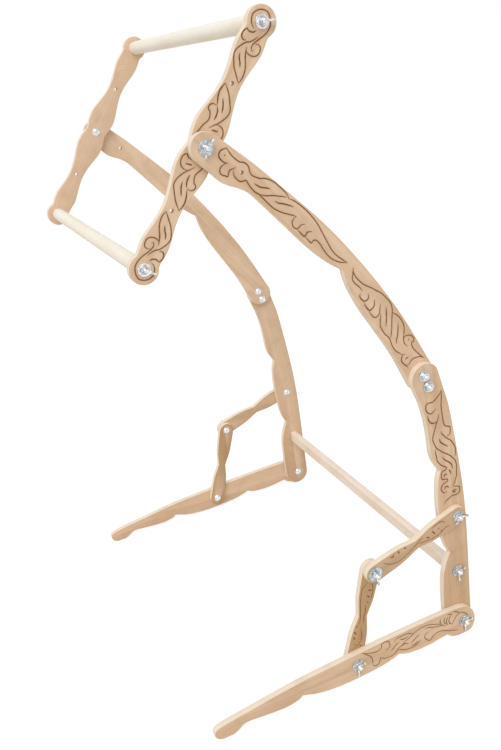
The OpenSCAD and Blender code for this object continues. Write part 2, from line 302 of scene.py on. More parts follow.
def seen_directly(tree):
    """1 for camera, glossy and transmission rays, and 0 for the light that other rays carry."""
    rays = node(tree, "ShaderNodeLightPath").outputs
    return math_node(tree, "MAXIMUM", rays["Is Camera Ray"],
                     math_node(tree, "MAXIMUM", rays["Is Glossy Ray"], rays["Is Transmission Ray"]))


def mix_colour(tree, factor, first, second, blend="MIX"):
    """Output of a colour Mix node."""
    return node(tree, "ShaderNodeMix", (0, factor), (6, first), (7, second), data_type="RGBA",
                blend_type=blend).outputs[2]


def ramp(tree, value, low, high):
    """Smooth step from 0 at low to 1 at high."""
    return node(tree, "ShaderNodeMapRange", interpolation_type="SMOOTHSTEP", Value=value,
                From_Min=low, From_Max=high).outputs["Result"]


def scaled(tree, vector, factors):
    """Vector multiplied by the three factors."""
    return node(tree, "ShaderNodeVectorMath", (0, vector), (1, factors),
                operation="MULTIPLY").outputs[0]


def noise(tree, vector, scale, detail=3.0, rough=0.5, warp=0.0):
    """Factor of a Noise texture."""
    return node(tree, "ShaderNodeTexNoise", Vector=vector, Scale=scale, Detail=detail,
                Roughness=rough, Distortion=warp).outputs["Fac"]


def make_group(name, ins, outs):
    """Empty node group; ins and outs give the kinds of its sockets by name."""
    tree = bpy.data.node_groups.new(name, "ShaderNodeTree")
    for way, sockets in (("INPUT", ins), ("OUTPUT", outs)):
        for label, kind in sockets.items():
            tree.interface.new_socket(name=label, in_out=way, socket_type="NodeSocket" + kind)
    return tree, tree.nodes.new("NodeGroupInput"), tree.nodes.new("NodeGroupOutput")


def rgb(red, green, blue):
    """Linear colour from sRGB values between 0 and 255."""
    c = np.array([red, green, blue]) / 255
    linear = np.where(c <= 0.04045, c / 12.92, ((c + 0.055) / 1.055) ** 2.4)
    return (*linear.tolist(), 1.0)


# Wood grain: long streaks, broad clouds and short pores along the first axis of the vector
grain, grain_in, grain_out = make_group(
    "wood_grain", {"Vector": "Vector", "Pale": "Color", "Dark": "Color", "Pores": "Float"},
    {"Color": "Color", "Height": "Float"})
streaks, clouds, pores = [
    noise(grain, scaled(grain, grain_in.outputs["Vector"], factors), 1.0, detail, rough, warp)
    for factors, detail, rough, warp in (((5, 95, 95), 4.0, 0.55, 0.6), ((9, 26, 26), 2.0, 0.5, 0.0),
                                         ((130, 1400, 1400), 2.0, 0.6, 0.0))]
streaked = plus(grain, times(grain, streaks, 0.6), times(grain, clouds, 0.4))
tone = mix_colour(grain, ramp(grain, streaked, 0.38, 0.64),
                  grain_in.outputs["Pale"], grain_in.outputs["Dark"])
pore_depth = times(grain, ramp(grain, pores, 0.56, 0.72), grain_in.outputs["Pores"])
feed(grain, grain_out, Color=mix_colour(grain, pore_depth, tone, rgb(150, 112, 78)),
     Height=math_node(grain, "SUBTRACT", times(grain, streaks, 0.35), pore_depth))

# Handling: faint uneven darkening and gloss over the whole piece
handling, handling_in, handling_out = make_group(
    "handling", {"Vector": "Vector", "Color": "Color", "Amount": "Float", "Roughness": "Float"},
    {"Color": "Color", "Roughness": "Float"})
smudge = noise(handling, handling_in.outputs["Vector"], 38.0, 4.0, 0.6)
smudge_mask = times(handling, ramp(handling, smudge, 0.45, 0.75), handling_in.outputs["Amount"])
feed(handling, handling_out,
     Color=mix_colour(handling, smudge_mask, handling_in.outputs["Color"], rgb(150, 110, 80),
                      "MULTIPLY"),
     Roughness=plus(handling, handling_in.outputs["Roughness"], times(handling, smudge, 0.12)))


def new_material(name):
    """Material with its node tree, its main shader and an Object coordinate socket."""
    made = bpy.data.materials.new(name)
    made.use_nodes = True
    tree = made.node_tree
    shader = tree.nodes["Principled BSDF"]
    place = tree.nodes.new("ShaderNodeTexCoord").outputs["Object"]
    return made, tree, shader, place


def kept(tree, name, output="Fac"):
    """Value kept on the points of the mesh under a name."""
    return node(tree, "ShaderNodeAttribute", attribute_type="GEOMETRY",
                attribute_name=name).outputs[output]


def bump(tree, height, strength, distance):
    """Normal bent by a height."""
    return node(tree, "ShaderNodeBump", Strength=strength, Distance=distance,
                Height=height).outputs["Normal"]


def grained(tree, vector, pale, dark, pores):
    """Wood grain group with its own colours."""
    return node(tree, "ShaderNodeGroup", node_tree=grain, Vector=vector, Pale=pale, Dark=dark,
                Pores=pores)


def handled(tree, place, colour, amount, roughness):
    """Handling group over a colour."""
    return node(tree, "ShaderNodeGroup", node_tree=handling, Vector=place, Color=colour,
                Amount=amount, Roughness=roughness)


def ply_edge(tree, plank):
    """Cream and tan plies, 2 mm each, across the thickness, which is the plank's third coordinate."""
    depth = node(tree, "ShaderNodeSeparateXYZ", Vector=plank)
    plies = times(tree, depth.outputs[2], 500.0)
    wander = times(tree, noise(tree, plank, 60.0, 2.0), 0.3)
    band = math_node(tree, "PINGPONG", plus(tree, plies, wander), 1.0)
    bands = mix_colour(tree, ramp(tree, band, 0.38, 0.62), rgb(255, 244, 226), rgb(246, 225, 199))
    fibres = noise(tree, scaled(tree, plank, (900, 900, 120)), 1.0, 2.0)
    return mix_colour(tree, times(tree, fibres, 0.2), bands, rgb(218, 189, 158))


def board_material():
    """Lacquered plywood: tan faces, cream layered edges, and scorched brown grooves."""
    made, tree, shader, place = new_material("lacquered_ply")
    plank = kept(tree, "plank", "Vector")
    face = grained(tree, plank, rgb(235, 205, 175), rgb(218, 185, 153), pores=0.22)
    # Faces darken toward golden brown by a kept amount: the links' own darker tone, and painted shade on
    # the upright's lower end and the foot, beneath the links
    toned_and_shaded = mix_colour(tree, kept(tree, "tone_and_shade"), face.outputs["Color"], rgb(176, 138, 90))
    toasted = mix_colour(tree, kept(tree, "amber"), toned_and_shaded, rgb(208, 160, 104))
    body = mix_colour(tree, ramp(tree, kept(tree, "rim"), 0.3, 0.75), toasted, ply_edge(tree, plank))
    marks = handled(tree, place, body, amount=0.12, roughness=0.42)
    uneven = times(tree, noise(tree, plank, 420.0, 3.0), 0.5)
    burn = times(tree, kept(tree, "scorch"), plus(tree, uneven, 0.72), clamp=True)
    feed(tree, shader, Specular_IOR_Level=0.2,
         Base_Color=mix_colour(tree, burn, marks.outputs["Color"], rgb(94, 48, 8)),
         Roughness=plus(tree, marks.outputs["Roughness"], times(tree, burn, 0.3)),
         Normal=bump(tree, face.outputs["Height"], 0.25, 0.0004))
    return made


def bare_wood_material(name, pale, dark, pores, marks, roughness, relief):
    """Uncarved wood, its grain along X."""
    made, tree, shader, place = new_material(name)
    face = grained(tree, place, pale, dark, pores)
    worn = handled(tree, place, face.outputs["Color"], marks, roughness)
    feed(tree, shader, Base_Color=worn.outputs["Color"], Roughness=worn.outputs["Roughness"],
         Normal=bump(tree, face.outputs["Height"], relief, 0.0004))
    return made


def zinc_material(name, bright, grey, gloss_loss):
    """Zinc plating: fine mottling in colour and gloss, and a faint orange-peel bump."""
    made, tree, shader, place = new_material(name)
    mottle = noise(tree, place, 620.0, 3.0, 0.6)
    coarse = noise(tree, place, 240.0, 2.0, 0.5)
    tone = mix_colour(tree, ramp(tree, coarse, 0.38, 0.62), bright, grey)
    stain = times(tree, ramp(tree, mottle, 0.42, 0.72), 0.26)
    feed(tree, shader, Metallic=1.0,
         Base_Color=mix_colour(tree, stain, tone, rgb(92, 110, 116)),
         Roughness=plus(tree, times(tree, mottle, 0.22), gloss_loss),
         Normal=bump(tree, mottle, 0.12, 0.0002))
    return made


BOARD = board_material()
BIRCH = bare_wood_material("pale_birch", rgb(255, 249, 236), rgb(250, 239, 219), pores=0.12,
                           marks=0.04, roughness=0.48, relief=0.08)
SOFTWOOD = bare_wood_material("planed_softwood", rgb(255, 240, 223), rgb(246, 225, 204), pores=0.18,
                              marks=0.08, roughness=0.5, relief=0.25)
BRIGHT_ZINC = zinc_material("bright_zinc", rgb(238, 240, 242), rgb(204, 209, 214), 0.12)
DULL_ZINC = zinc_material("dull_zinc", rgb(208, 214, 219), rgb(170, 178, 185), 0.22)

# Scrolls cut into the outer faces, as strokes through (u, v) points in millimetres: u runs along the
# board from its first pivot, and v across it. One point alone is a dot.
PLATE_SCROLL = [
    [(4, 13), (14, 12), (22, 10), (29, 7), (34, 7.3), (38.5, 9.5), (39.7, 12), (42.5, 13.3), (46, 12),
     (47.8, 9), (47.3, 5.5)],
    [(48.5, 5.5), (52, 6.5), (57, 8.5), (63, 9.5), (68, 9), (73, 7.5)],
    [(73, 7), (70, 3.5), (66, -0.8), (61, -4.6), (56, -8), (51, -11), (46, -11.5), (41, -10.2),
     (36, -7.8), (31, -4.5), (27, -1), (23, 2)],
    [(29.5, -4.5), (30.2, -8), (29, -11.8), (26.2, -14.6), (22, -16), (18, -15.8), (15, -14.2),
     (13.8, -12.4), (15.2, -10.8), (16.7, -8.5), (16.5, -3)],
    [(22, -1.5), (22.8, -5), (23.5, -8)],
    [(23.5, -8)],
    [(43.5, -3.6), (49.5, -2), (54, 0.2), (57.6, 2.4)],
    [(33, 1), (38, 0.8), (43, 1.8), (46.8, 4)],
    [(80.5, -6), (83.5, -3), (87.5, 1), (92.5, 6), (98, 9.5), (103, 12), (107, 13), (112, 12),
     (117, 9.5), (122, 6), (125, 2), (129, -1), (133.5, -3.5)],
    [(80.5, -6), (85.5, -7.5), (92, -7.5), (98, -6), (103, -3.5), (108, -0.5), (113, 1.5), (118, 3)],
    [(96, 0), (100.6, 2.6), (104.6, 5.6), (109, 7)],
    [(106.6, -1.4), (110.6, 0.6)],
    [(118.1, 3.1), (114.6, 1.8), (113.1, -0.6), (112.6, -4), (113.4, -8), (116, -11.4), (119.4, -12.8),
     (122.8, -12.6), (126, -11.2), (127.2, -7.6), (126, -4.4)],
    [(118.6, -5.4), (118, -3.8), (119.6, -2.4), (123, -2), (127.5, -3.4), (132.5, -6), (138, -8.9),
     (144, -10.9), (150, -11.2), (155, -9.4), (159, -6.2), (161.6, -2.4), (162, 1.6), (160.2, 6.6),
     (156.4, 10.6), (151, 12.8), (145.4, 11.4), (141.4, 8.4), (139.4, 4.6)],
    [(123.6, 7.4), (123.1, 10.8), (125.6, 13.6), (129.6, 14.4), (133.6, 12.9), (135.8, 11.2)],
    [(134.8, 11.6), (134, 7.6), (135.4, 3.6), (138.4, 1.2)],
]
ARM_SCROLL = [
    [(17, 17.5), (22, 16.5), (30, 16), (39, 17.5), (42.5, 20), (46, 21.6), (50, 21.9), (53, 20.6),
     (56, 18.8), (60, 17.8), (64, 18.8), (70, 21.9), (75, 26.3), (80, 29.4), (87.5, 31.9), (95, 32.8),
     (105, 33.5), (111, 32.8), (114, 31.5)],
    [(18, 17.5), (15.6, 13.8), (14.4, 10), (15.6, 6.3), (18.8, 4), (25, 4), (30, 6.3)],
    [(21.5, 10.3)],
    [(28.8, 5.6), (27.5, 1.3), (27.3, -2.5), (28.8, -5.6), (31.9, -7.3), (35.6, -6.5), (37.5, -5),
     (39.8, -4.4), (40, -2.5), (38, 0.6), (37.5, 3.8), (39.4, 7.5), (40, 10)],
    [(41.3, 5.6), (43.8, 3), (49.4, 1.9), (55, 3), (58, 6.3), (59.4, 8.8), (62.5, 8.4), (70, 7.3),
     (77.5, 7.5), (82.5, 9), (91.3, 9.4), (100, 9.8), (107.5, 10.6), (115, 13), (121, 15.6), (126, 18.5),
     (131, 21.3), (136, 23.8)],
    [(70, 13.5), (77.5, 15.6), (83.8, 20), (88, 23)],
    [(83.8, 10), (90, 13.8), (95, 18.8), (100, 23), (106, 27.5), (111, 31)],
    [(103, 17.4), (108, 19.1), (113, 22.6), (118, 25.6), (125, 29)],
    [(136, 23.8), (135.6, 18.8), (137.5, 15), (142, 13), (147, 14.4), (148, 17.5), (148, 21.3),
     (151, 25.3)],
    [(149.4, 14.4), (155, 14.4), (161, 15), (161, 18.8), (160.6, 21.3), (164, 25.6)],
    [(162.5, 15.6), (173, 15.6), (173.8, 18), (173.8, 20.6), (177.5, 22.8), (185, 22.8), (190, 21.8),
     (200, 20.8), (210, 21.8), (220, 25.8), (228, 31.5)],
    [(114, 31.5), (118.8, 33.8), (125, 35.6), (132.5, 36.9), (141, 37.8), (150, 38), (160, 37.5),
     (168.8, 36), (180, 33.4), (190, 31.1), (200, 28.9), (210, 28.6), (220, 30.5), (229, 32.6)],
    [(240.5, 33.8), (245.4, 28.5), (250, 23.4), (257, 22.3), (266, 23.4), (271.5, 22.5)],
    [(272.3, 18.5), (274.6, 15.7), (279.2, 14.8), (284.6, 16.2), (286.2, 20), (285.4, 23.1),
     (281.8, 25.8)],
    [(286.2, 13.8), (290, 12.9), (295.4, 12.3), (299.7, 13.1), (300.5, 18.5), (299.2, 22.3),
     (294.6, 26.5)],
    [(300, 11.5), (304.6, 10.8), (310, 10.8), (313.5, 13.1), (314.2, 17.7), (312.3, 21.5), (309.2, 24.6),
     (305.4, 28.5)],
    [(240.5, 33.5), (243.1, 31.1), (249.2, 28.9), (257, 28.5), (266.2, 29.5), (272.3, 31.5), (280, 34.3),
     (287.7, 36.6), (293.8, 38.8), (300, 39.7), (307.7, 40), (313.8, 40), (319.2, 38.8), (323.8, 36.2),
     (327.7, 33.1), (333.8, 26.9), (341.5, 20), (347.7, 13.8), (351.5, 9.2)],
    [(315.4, 31.5), (323, 25.4), (330, 19.2), (333.8, 14.6)],
    [(346.2, 28.5), (350.8, 24.6), (357, 18.5), (361.5, 12.3), (364.6, 10)],
    [(315.4, 20.8), (320, 16.2), (323.8, 12.3), (327.7, 9.2), (332.3, 8), (340, 6.8), (347.7, 7.4),
     (352.3, 6.9), (357, 4.9), (363, 3.1), (370.8, 2.2), (378.5, 3.8), (383.8, 4.9)],
    [(386.6, 8.2), (384.6, 5.4), (386, 1.8), (389, -1.4), (394, -2), (399, -1.4), (403.6, -0.8)],
    [(393.4, 8.2), (392.6, 6.6), (392.2, 4.8)],
    [(392.3, 5)],
    [(399.8, -1), (401.2, 1.2), (401.9, 4), (400.9, 7.6), (401.4, 12.4), (404.4, 17.6), (408.5, 21.6),
     (412.6, 23.4)],
    [(327.7, 33.1), (333.8, 34.9), (340, 35.8), (347.7, 35.1), (353.8, 33.5), (358.5, 30.5), (363, 26.2),
     (367.7, 20.8)],
    [(414.6, 24.2), (409.2, 23), (401.5, 22.3), (393.8, 21.9), (388.5, 22.3), (384.5, 23.6),
     (382.2, 25.8), (383.2, 28.4), (381.6, 30.6), (378.6, 31.8), (375, 31.5), (371, 29.6), (368.4, 26.2),
     (367.4, 23.4), (369.8, 19.8), (374.4, 17.6), (381, 17.9)],
    [(375.4, 24.9)],
]
UPRIGHT_SCROLL = [
    [(207, 16.3), (210, 13.8), (212, 11.3), (213.8, 7.5), (215.6, 3.8), (216.3, 0), (215.6, -4.4),
     (216.3, -8.1), (218.8, -10.6), (223.8, -11.3), (227, -10.6), (229, -6.3), (230, -1.3)],
    [(220.6, -5), (221.3, -1.3), (223, 0), (224.4, -3.8), (223.8, -6.3)],
    [(231.3, 0), (236.3, -3.1), (241.3, -5), (246.3, -7), (253.8, -7.3), (261.3, -7.9), (266.3, -7.5),
     (272.5, -5.6), (277.5, -2), (281.3, 1.3), (285.6, 6.3), (290, 12.5), (295, 18.1), (300, 23.1),
     (305, 25.6), (310, 27.5), (315, 28.8), (320, 28.1), (325, 26.3), (331.3, 24), (336.3, 22),
     (341.3, 20), (345, 18.1), (351.3, 17)],
    [(226.3, 11.3), (225.6, 15), (228.1, 18.1), (232.5, 20), (237.5, 18.8), (240.6, 15), (241.3, 11.3),
     (243.1, 8.1), (246.3, 9.4), (247, 13.8), (248.8, 17.5), (253.8, 18.5), (258.8, 17.5), (261.3, 14.4),
     (261.3, 11.3), (263.8, 8.8), (267.5, 12), (271.3, 17.5), (276.3, 21.3), (281.3, 23.8),
     (287.5, 24.4), (292.5, 25.6), (298.8, 25.6)],
    [(231.3, 13.8), (233.8, 12.5), (234.4, 9.4), (231.3, 7)],
    [(251.3, 13.8), (254.4, 12.5), (253.8, 8.8)],
    [(252.5, 2.5), (256.3, 3.1), (260, 5)],
    [(260.6, -1.3), (266.3, 0), (270, 2.5), (273.8, 6.3), (276.3, 9.4), (280, 12.5), (283.1, 14.4)],
    [(297.5, 5), (300.6, 8.8), (305, 13.8), (308.8, 17), (313.1, 17.8)],
    [(278.1, -6.3), (285, -7.5), (291.3, -7.5), (297.5, -5), (302.5, -2.5), (306.3, 0.6), (310, 5),
     (313.8, 8.8), (317.5, 11.3), (320, 13.8), (323.8, 14.4)],
    [(313.1, 5.6), (314.4, 2.5), (317.5, 0), (322.5, -0.6), (327, 0), (328.8, 3.8), (330.6, 7.5),
     (335, 9.4), (341.3, 10.3), (347.5, 11), (356.3, 12), (365, 12), (375, 11), (385.6, 10.3)],
    [(341, 21), (340, 25), (341.3, 29.4), (344.4, 32), (348.8, 34), (353.8, 34.4)],
    [(360.6, 21.3), (357.5, 25), (355.6, 28.8), (357.5, 33.1), (361.3, 36), (365, 37), (370, 36.3),
     (372, 34.4), (372.5, 30), (372, 25.6), (374.4, 21.3), (377.5, 17), (381.3, 13.1), (385.6, 10.3)],
]
FOOT_SCROLL = [
    [(-8.1, 0), (-6.3, -7.5), (-1.3, -13.1), (5, -16.3), (11.3, -14.4), (16.3, -10), (18.8, -6.3),
     (20.6, -1.3)],
    [(20.6, -1.5), (24.4, -3.8), (27, -8.8), (25.6, -15), (22.5, -19)],
    [(32.6, -6), (35.4, -11), (35.2, -16), (33.4, -19)],
    [(33.8, -3.1), (38.8, -7.5), (45, -12), (52.5, -15), (60, -18), (67.5, -19.4), (78.8, -18.8),
     (87.5, -16.3), (91.3, -14.4), (97.5, -10.6), (105, -7.5), (110, -3.8), (116.3, -0.6), (120, 2),
     (123.8, 6.3), (130, 8.1), (136.3, 8.1), (143.8, 6.3), (149.4, 2)],
    [(40.6, -11.5), (43, -15), (41.6, -19)],
    [(29.4, -3.4), (31.4, -9), (30.6, -14.6), (28.4, -18.4)],
    [(8, -17), (12.4, -21), (18, -23)],
    [(21, -19.8), (25, -21.4), (28, -22.8)],
    [(37, -6.4), (45, -8.6), (54, -10.4), (62, -13.6), (70, -15.4)],
    [(10, 13.8), (17, 11.8), (24, 9.4), (32, 6), (40, 2.4), (46, 1.6), (53, 3), (58, 6.2), (61.6, 10),
     (65, 9), (69, 5.4), (71, 1.6), (71, -2), (68, -5), (63.6, -6)],
    [(78.8, 2), (82.5, 5), (87.5, 7.5), (93.8, 8.8), (100, 8.8), (107.5, 7), (113.8, 3.8), (118.8, 2)],
    [(80, -8.1), (85, -6.3), (90, -3.1), (95, 0)],
    [(90, -15), (95, -17.5), (101.3, -19.4), (110, -19.4), (118.8, -18.8), (123.8, -15)],
    [(116.3, -10.6), (121.3, -8.1), (126.3, -4.4), (130, -2)],
    [(138.8, -6.3), (133.8, -8.1), (131.3, -11.3), (132, -17.5), (135, -21.3), (141.3, -22),
     (145, -19.4), (145.6, -15), (150, -12), (156.3, -11.3), (163.8, -13.1), (171.3, -15.6), (178, -19)],
    [(149.4, 2.4), (150, 7), (152.6, 11.4), (157, 13.6), (162, 10.6)],
    [(162.5, 10), (162.3, 3.8), (163.4, -3.8), (166.8, -9.4), (171.6, -13.8), (177.5, -18.4)],
    [(83, 2.2), (88, 4.8), (94, 6)],
    [(100, -1), (106, -3.4), (111, -1.6)],
    [(100, -14), (107, -12.6), (114, -15)],
]
UPPER_LINK_SCROLL = [
    [(17, 6.6), (22, 4.6), (28, 5.6), (34, 7.4), (42, 8), (50, 7.2), (58, 5.2), (66, 2.6), (72, 0.4)],
    [(22, -4), (25, -7.6), (29, -9.8), (36, -9.8), (44, -8.6)],
    [(62, -4.8), (69, -3), (76, -0.4), (82, 1.6), (90, 3.8), (98, 5.4), (106, 6.4), (113, 5.4),
     (119, 3.2), (124, 0.2), (128, -3.8), (131.2, -8)],
]
# Short drops pressed in beside the links' long curves
UPPER_LINK_DROPS = [
    [(42.6, 3.2), (43.6, 0.4), (45.4, -4)],
    [(53, 3.2), (54.4, 1.6), (56.4, -0.6)],
    [(91.6, -6), (93, -7.6), (93.6, -9)],
    [(103.8, -5.6), (104.2, -8), (103.6, -10)],
    [(112, -8.8), (114.8, -7), (118, -8.4)],
    [(30.6, 6.4), (32.4, 5)],
    [(34.4, -1)],
]
LOWER_LINK_SCROLL = [
    [(19, -1.6), (23, -5.6), (28, -9.2), (36, -9.8), (44, -9.2), (52, -8), (60, -6.6), (67, -5.2),
     (74, -4), (82, -3.4), (88, -3.6)],
    [(22, 5), (27, 7.8), (34, 8.8), (42, 8.6), (49, 7.4)],
    [(56, 0.8), (62, 1.8), (68, 2.8), (75, 2), (84, 3.2)],
    [(93, 0), (100, 2.4), (108, 4.4), (114, 4.4), (120, 2.4), (125, -1.6), (128, -6.4)],
]
LOWER_LINK_DROPS = [
    [(33, 6.4), (32.2, 4), (31.8, 1.2)],
    [(43.2, 5.4), (42.4, 3.2), (41.4, 0.8)],
    [(51.4, 4.6), (52, 3)],
    [(90, -6), (91.4, -7.8)],
    [(102.8, -5), (101.6, -7.4), (99.4, -9.4)],
    [(108, -9), (110, -7.6), (112, -6.4)],
    [(120.8, -4.6), (121.2, -3.4)],
    [(123.4, 7), (123.8, 5)],
]


def leaned(strokes, slope):
    """Strokes with v + slope u in place of v."""
    return [[(u, v + slope * u) for u, v in stroke] for stroke in strokes]


def half_turned(strokes):
    """Strokes and the same strokes turned half round about the first pivot."""
    return strokes + [[(-u, -v) for u, v in stroke] for stroke in strokes]


def smooth_run(points, step=0.3):
    """Catmull-Rom curve through the points, sampled about every step millimetres."""
    p = np.array(points, float)
    if len(p) == 1:
        return p
    p = np.concatenate([[2 * p[0] - p[1]], p, [2 * p[-1] - p[-2]]])
    runs = []
    for a, b, c, d in zip(p[:-3], p[1:-2], p[2:-1], p[3:]):
        t = np.arange(0, 1, step / max(np.hypot(*(c - b)), step))[:, None]
        runs.append((2 * b + t * (c - a) + t ** 2 * (2 * a - 5 * b + 4 * c - d)
                     + t ** 3 * (3 * b - a - 3 * c + d)) / 2)
    return np.concatenate(runs + [p[-2:-1]])


def groove_field(u, v, groups):
    """Core that falls from 1 on a stroke to 0 at its half width, and an amber glow round it.

    groups are pairs of a half width and its strokes. Strokes under 30 mm are a fifth wider. The
    half width narrows to 0.45 of itself over the last 7 mm, or over the last quarter of a short
    stroke. The glow is the larger of 0.24 exp(-(gap / 2.1)^2) and 0.05 exp(-(gap / 5)^2).
    """
    core = np.zeros(u.shape)
    glow = np.zeros(u.shape)
    reach = 9
    for half_width, stroke in [(width, stroke) for width, strokes in groups for stroke in strokes]:
        run = smooth_run(stroke)
        if len(run) == 1:
            width = np.array([1.25 * half_width])
        else:
            along = np.concatenate([[0], np.cumsum(np.hypot(*np.diff(run, axis=0).T))])
            to_end = np.minimum(along, along[-1] - along)
            taper = min(7, along[-1] / 4)
            fullness = 1.2 if along[-1] < 30 else 1.0
            width = fullness * half_width * np.clip(0.45 + 0.55 * to_end / taper, 0, 1)
        low = run.min(axis=0) - reach
        high = run.max(axis=0) + reach
        near = (u > low[0]) & (u < high[0]) & (v > low[1]) & (v < high[1])
        if not near.any():
            continue
        gap = np.hypot(u[near][:, None] - run[:, 0], v[near][:, None] - run[:, 1])
        core[near] = np.maximum(core[near], 1 - np.clip((gap / width).min(axis=1), 0, 1))
        gap = gap.min(axis=1)
        spread = np.maximum(0.24 * np.exp(-(gap / 2.1) ** 2), 0.05 * np.exp(-(gap / 5) ** 2))
        glow[near] = np.maximum(glow[near], spread)
    return core, glow


def board_outline(cad_mesh, face_x, origin, along):
    """Edges round the outer face of a CAD board, as pairs of (u, v) ends in millimetres.

    They are the sides of only one triangle there. Sides are matched on a grid of 0.002 mm.
    """
    points, corners = mesh_arrays(cad_mesh)
    triangles = points[corners].reshape(-1, 3, 3)
    flat = triangles[(np.abs(triangles[:, :, 0] - face_x) < 0.01).all(axis=1)][:, :, 1:]
    ends = np.concatenate([flat[:, [0, 1]], flat[:, [1, 2]], flat[:, [2, 0]]])
    keys = np.round(ends * 500).astype(np.int64)
    swap = (keys[:, 0, 0] > keys[:, 1, 0]) | (
        (keys[:, 0, 0] == keys[:, 1, 0]) & (keys[:, 0, 1] > keys[:, 1, 1]))
    keys[swap] = keys[swap][:, ::-1]
    _, first, uses = np.unique(keys.reshape(-1, 4), axis=0, return_index=True, return_counts=True)
    rim = ends[first[uses == 1]] - origin
    return np.stack([rim @ along, rim @ crosswise(along)], axis=-1)


def outline_span(edges, u):
    """Lowest and highest v where the lines of constant u cross the edges."""
    a = edges[:, 0]
    b = edges[:, 1]
    run = b[:, 0] - a[:, 0]
    crossed = (a[:, 0] - u[:, None]) * (b[:, 0] - u[:, None]) <= 0
    t = (u[:, None] - a[:, 0]) / np.where(np.abs(run) < 1e-9, 1e-9, run)
    v = a[:, 1] + np.clip(t, 0, 1) * (b[:, 1] - a[:, 1])
    return np.where(crossed, v, np.inf).min(axis=1), np.where(crossed, v, -np.inf).max(axis=1)


def stations_between(low, high, end, step):
    """Stations from low to high, step apart, and closer in the last end mm as on a round end."""
    turn = np.linspace(0, math.pi / 2, int(end * 1.57 / step))
    start = low + end * (1 - np.cos(turn))
    middle = np.linspace(start[-1], high - end, int((high - low - 2 * end) / step))
    return np.concatenate([start[:-1], middle, (low + high - start[::-1])[1:]])


def drawn_in(edges, step, r):
    """Stations along u, about step apart, and the outline's lower and upper v drawn in by r.

    lower(u) = max over the outline's points p with |p.u - u| < r of p.v + sqrt(r^2 - (p.u - u)^2).
    """
    u_low = edges[:, :, 0].min()
    u_high = edges[:, :, 0].max()
    fine = stations_between(u_low + 1e-4, u_high - 1e-4, 16, 0.12)
    low, high = outline_span(edges, fine)
    stations = stations_between(u_low + r + 0.01, u_high - r - 0.01, 12, step)
    offset = fine - stations[:, None]
    lift = np.sqrt(np.clip(r ** 2 - offset ** 2, 0, None))
    inside = np.abs(offset) <= r
    lower = np.where(inside, low + lift, -np.inf).max(axis=1)
    upper = np.where(inside, high - lift, np.inf).min(axis=1)
    pinch = upper - lower < 0.02
    middle = (upper + lower) / 2
    lower[pinch] = middle[pinch] - 0.01
    upper[pinch] = middle[pinch] + 0.01
    return stations, lower, upper


def board_shell(edges, thickness, groups, step=0.65, arris=0.9, depth=0.5):
    """Closed board whose outer face is a grid between the outline's edges, drawn in by the arris.

    The grooves sink by depth * core^0.8. Rings at angle a stand r sin a outside the face's rim and
    r (1 - cos a) below it, and the same again at the inner face.
    """
    stations, lower, upper = drawn_in(edges, step, arris)
    rows = int((upper - lower).max() / step) + 2
    t = np.linspace(0, 1, rows)[:, None]
    u = np.broadcast_to(stations, (rows, len(stations)))
    v = lower + t * (upper - lower)
    core, glow = groove_field(u, v, groups)
    top = np.stack([u, v, -depth * core ** 0.8], axis=-1).reshape(-1, 3)
    faces = grid_faces(rows, len(stations), closed_cols=False).tolist()

    number = np.arange(rows * len(stations)).reshape(rows, len(stations))
    loop = np.concatenate([number[0, :-1], number[:-1, -1], number[-1, :0:-1], number[:0:-1, 0]])
    around = len(loop)
    rim_points = top[loop, :2]
    ahead = np.roll(rim_points, -1, axis=0) - np.roll(rim_points, 1, axis=0)
    ahead /= np.maximum(np.hypot(*ahead.T), 1e-9)[:, None]
    outward = np.stack([ahead[:, 1], -ahead[:, 0]], axis=-1)
    rings = [(arris * math.sin(math.radians(a)), arris * (1 - math.cos(math.radians(a))), a / 90)
             for a in (30, 60, 90)]
    rings += [(out, thickness - down, amount) for out, down, amount in rings[::-1]]
    rings.append((0, thickness, 0))
    points = [top]
    last = loop
    for k, (out, down, _) in enumerate(rings):
        points.append(np.column_stack([rim_points + out * outward, np.full(around, -down)]))
        now = len(top) + k * around + np.arange(around)
        faces += np.stack([last, now, np.roll(now, -1), np.roll(last, -1)], axis=-1).tolist()
        last = now
    faces.append(last[::-1].tolist())
    plain = np.zeros(len(rings) * around)
    values = {"scorch": np.append(np.clip(1.5 * core, 0, 1), plain), "amber": np.append(glow, plain),
              "rim": np.append(np.zeros(len(top)), np.repeat([ring[2] for ring in rings], around))}
    return np.concatenate(points), faces, values


